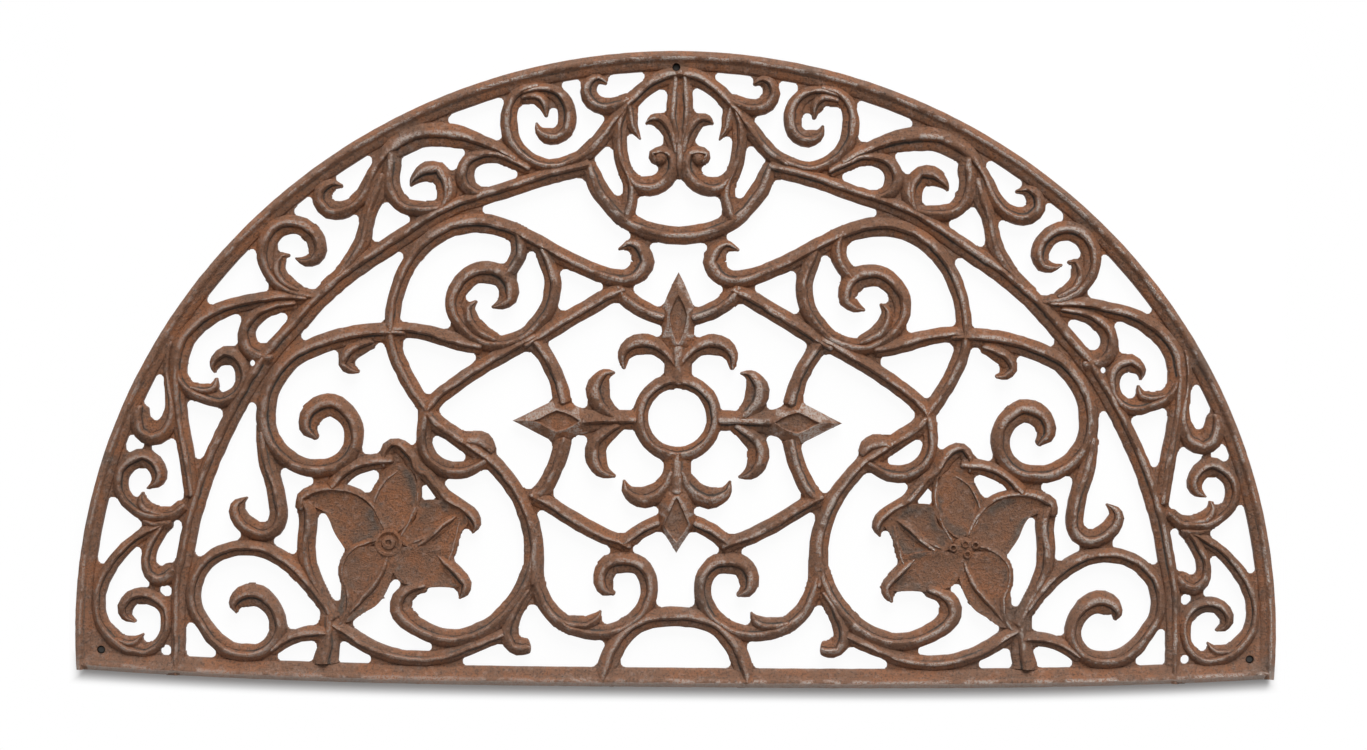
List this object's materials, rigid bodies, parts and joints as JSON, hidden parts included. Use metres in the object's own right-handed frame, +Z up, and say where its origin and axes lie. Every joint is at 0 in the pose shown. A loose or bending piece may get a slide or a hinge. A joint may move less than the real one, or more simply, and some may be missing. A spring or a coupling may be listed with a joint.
{
  "type": "half-round scraper door mat",
  "caption": "Half-round cast iron scraper mat: an open lattice of scrolls, flowers and a rosette in an arched rim, on rubber feet.",
  "frame": {"origin": "on the floor, under the middle of the mat's box", "axes": "+X along the straight edge, +Y from the straight edge to the top of the arch, +Z up"},
  "size_m": [0.7516, 0.399, 0.012],
  "materials": {
    "cast_iron": "rust-brown, lightly weathered, rough sand-cast skin",
    "rubber": "matt black"
  },
  "bodies": {
    "root": {"arch_band_left": "cast_iron", "arch_band_right": "cast_iron", "border_curl_c_left": "cast_iron", "border_curl_c_right": "cast_iron", "border_curl_e_left": "cast_iron", "border_curl_e_right": "cast_iron", "border_loop_e_left": "cast_iron", "border_loop_e_right": "cast_iron", "border_scroll_a_left": "cast_iron", "border_scroll_a_right": "cast_iron", "border_scroll_b_left": "cast_iron", "border_scroll_b_right": "cast_iron", "border_scroll_c_left": "cast_iron", "border_scroll_c_right": "cast_iron", "border_scroll_d_left": "cast_iron", "border_scroll_d_right": "cast_iron", "border_scroll_e_left": "cast_iron", "border_scroll_e_right": "cast_iron", "border_scroll_f_left": "cast_iron", "border_scroll_f_right": "cast_iron", "bottom_arch": "cast_iron", "bottom_diamond": "cast_iron", "field_scroll_a_left": "cast_iron", "field_scroll_a_right": "cast_iron", "field_scroll_b_left": "cast_iron", "field_scroll_b_right": "cast_iron", "field_scroll_c_left": "cast_iron", "field_scroll_c_right": "cast_iron", "field_stem_left": "cast_iron", "field_stem_right": "cast_iron", "fleur": "cast_iron", "flower_left": "cast_iron", "flower_right": "cast_iron", "flower_scroll_left": "cast_iron", "flower_scroll_right": "cast_iron", "foot_left": "rubber", "foot_right": "rubber", "foot_scroll_left": "cast_iron", "foot_scroll_right": "cast_iron", "foot_top": "rubber", "leaf_loop_left": "cast_iron", "leaf_loop_right": "cast_iron", "lyre_curl_left": "cast_iron", "lyre_curl_right": "cast_iron", "lyre_scroll_left": "cast_iron", "lyre_scroll_right": "cast_iron", "medallion_arch": "cast_iron", "medallion_ring": "cast_iron", "medallion_side_left": "cast_iron", "medallion_side_right": "cast_iron", "rim": "cast_iron", "rosette_frame_left": "cast_iron", "rosette_frame_right": "cast_iron", "rosette_ring": "cast_iron", "sill": "cast_iron", "top_diamond": "cast_iron", "trunk_left": "cast_iron", "trunk_right": "cast_iron"}
  },
  "joints": []
}
